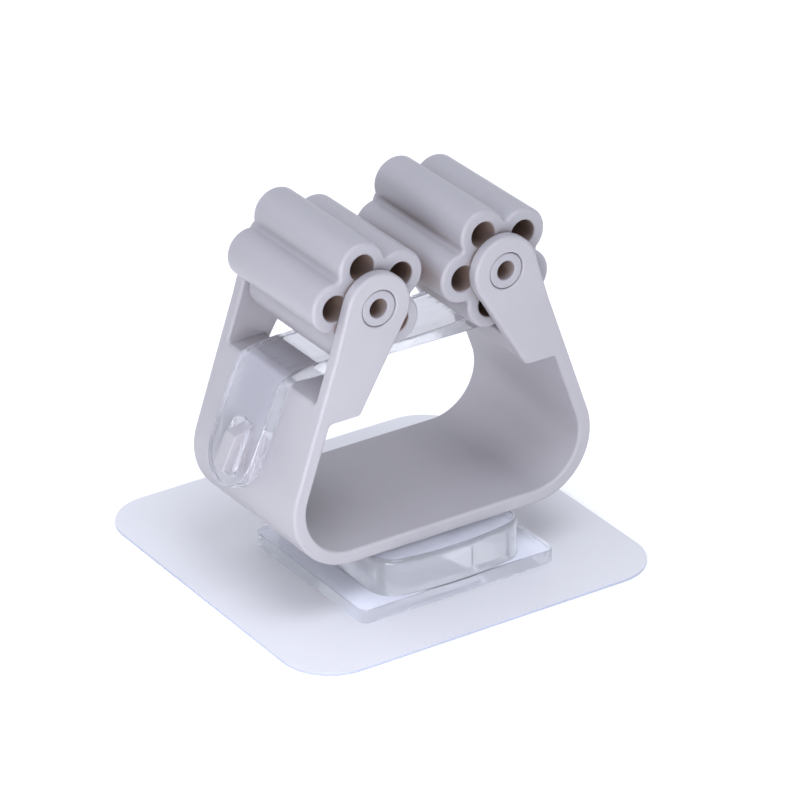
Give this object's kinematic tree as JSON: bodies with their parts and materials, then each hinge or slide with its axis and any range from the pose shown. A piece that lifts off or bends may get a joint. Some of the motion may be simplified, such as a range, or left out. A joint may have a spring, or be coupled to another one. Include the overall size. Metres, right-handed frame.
{
  "type": "adhesive mop handle holder",
  "caption": "Wall holder for a mop or broom handle: springy frame with soft lobed rollers on axles, clear handle stop, and clear slide-on base stuck on by a square film.",
  "frame": {"origin": "on the sticky face (Z = 0), straight under the middle of the spring frame", "axes": "+Z away from the wall, Y along the handle with +Y towards its upper end, +X to the right of someone facing the wall from the -Y end"},
  "size_m": [0.08, 0.08, 0.0747],
  "materials": {
    "adhesive": "tacky translucent gel",
    "film": "smooth pale translucent film",
    "clear_plastic": "water-clear moulded plastic",
    "grey_plastic": "satin moulded plastic",
    "soft_grey": "soft satin thermoplastic rubber",
    "axle_plastic": "satin moulded plastic"
  },
  "bodies": {
    "base": {"adhesive_layer": "adhesive", "carrier_film": "film", "base_plate": "clear_plastic"},
    "frame": {"spring_frame": "grey_plastic", "handle_stop": "clear_plastic"},
    "left_roller": {"left_roller": "soft_grey", "left_axle": "axle_plastic"},
    "right_roller": {"right_roller": "soft_grey", "right_axle": "axle_plastic"}
  },
  "joints": [
    {"name": "frame_slide", "type": "slide", "parent": "base", "child": "frame", "axis": [0, 1, 0], "range_m": [0, 0.022]},
    {"name": "left_roller_spin", "type": "hinge", "parent": "frame", "child": "left_roller", "pos_m": [-0.01403, 0, 0.06234], "axis": [0, 1, 0], "continuous": true},
    {"name": "right_roller_spin", "type": "hinge", "parent": "frame", "child": "right_roller", "pos_m": [0.01403, 0, 0.06234], "axis": [0, 1, 0], "continuous": true}
  ]
}
